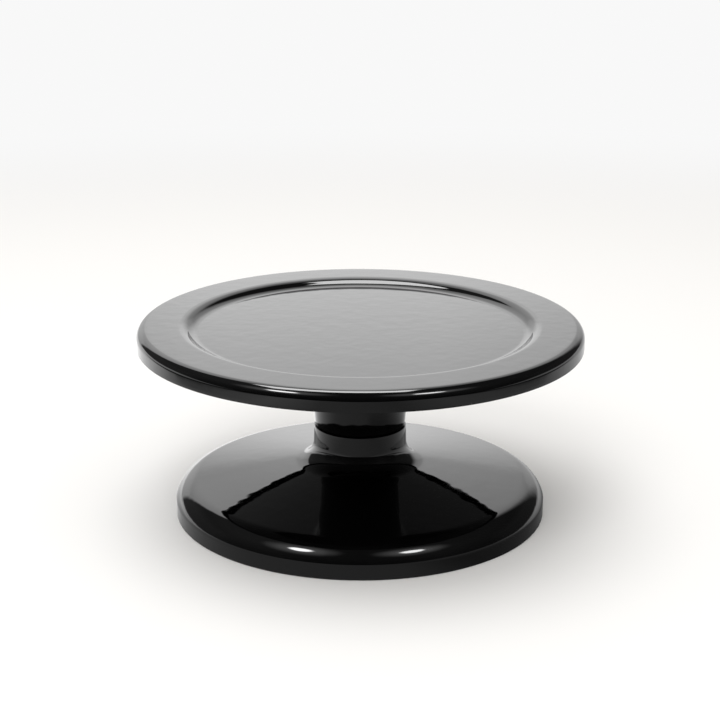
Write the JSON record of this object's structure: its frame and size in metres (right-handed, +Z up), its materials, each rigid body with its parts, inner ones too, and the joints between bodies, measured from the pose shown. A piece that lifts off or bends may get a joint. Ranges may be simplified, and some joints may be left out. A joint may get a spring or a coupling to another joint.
{
  "type": "cake turntable",
  "caption": "Glossy black cake turntable: a recessed dish plate with a rolled rim spins on a ball thrust bearing in the neck of a trumpet-shaped pedestal.",
  "frame": {"origin": "on the spin axis, at the surface that the feet stand on", "axes": "+Z up along the spin axis; +X to the right and -Y towards the viewer, with no other natural front"},
  "size_m": [0.31, 0.31, 0.1365],
  "materials": {
    "gloss_black": "high gloss",
    "satin_black": "satin",
    "rubber_black": "matte",
    "zinc": "zinc plated",
    "acetal": "satin",
    "race_steel": "ground",
    "cage_nylon": "satin",
    "ball_steel": "polished",
    "turned_steel": "turned",
    "black_steel": "black oxide",
    "insert_nylon": "satin"
  },
  "bodies": {
    "base": {"base_pedestal": "gloss_black", "base_cover": "satin_black", "cover_screws": "zinc", "foot_1": "rubber_black", "foot_2": "rubber_black", "foot_3": "rubber_black", "foot_4": "rubber_black", "foot_5": "rubber_black", "foot_6": "rubber_black", "upper_bush": "acetal", "lower_bush": "acetal", "lower_race": "race_steel"},
    "ball_cage": {"ball_cage": "cage_nylon", "bearing_balls": "ball_steel"},
    "turntable": {"turntable_plate": "gloss_black", "bearing_carrier": "satin_black", "carrier_screws": "zinc", "spindle": "turned_steel", "spindle_screws": "black_steel", "upper_race": "race_steel", "retaining_washer": "turned_steel", "lock_nut": "zinc", "nut_insert": "insert_nylon"}
  },
  "joints": [
    {"name": "plate_spin", "type": "hinge", "parent": "base", "child": "turntable", "pos_m": [0, 0, 0.0545], "axis": [0, 0, 1], "continuous": true},
    {"name": "cage_spin", "type": "hinge", "parent": "base", "child": "ball_cage", "pos_m": [0, 0, 0.0545], "axis": [0, 0, 1], "continuous": true}
  ],
  "couplings": [
    {"joint": "cage_spin", "follows": "plate_spin", "ratio": 0.5}
  ]
}
